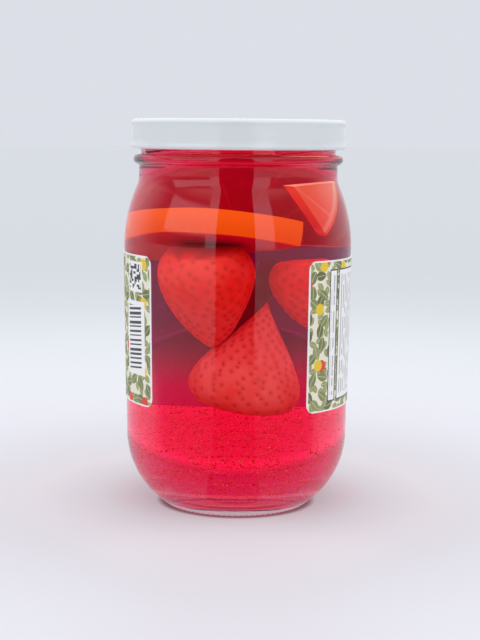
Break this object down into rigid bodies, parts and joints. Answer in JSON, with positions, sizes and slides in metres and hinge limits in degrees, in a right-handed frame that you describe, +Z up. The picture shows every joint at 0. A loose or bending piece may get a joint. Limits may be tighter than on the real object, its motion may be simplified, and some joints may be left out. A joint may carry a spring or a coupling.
{
  "type": "lidded glass jar of fruit in red liquid",
  "caption": "Round glass food jar with a soft heel, sloping shoulder and white twist-off lid, wrapped in an open-fronted paper label and filled with fruit in clear red liquid.",
  "frame": {"origin": "centre of the base, on the surface that the jar stands on", "axes": "+Z up along the jar's axis; -Y is the front, between the two ends of the label; +X to the right seen from the front"},
  "size_m": [0.0776, 0.0773, 0.1306],
  "materials": {
    "glass": "clear, smooth, fire-polished",
    "liquid": "clear red liquid",
    "lid_enamel": "glossy white enamel",
    "label_paper": "printed, satin coated"
  },
  "bodies": {
    "root": {"jar": "glass", "liquid": "liquid", "lid": "lid_enamel", "label": "label_paper"}
  },
  "joints": []
}
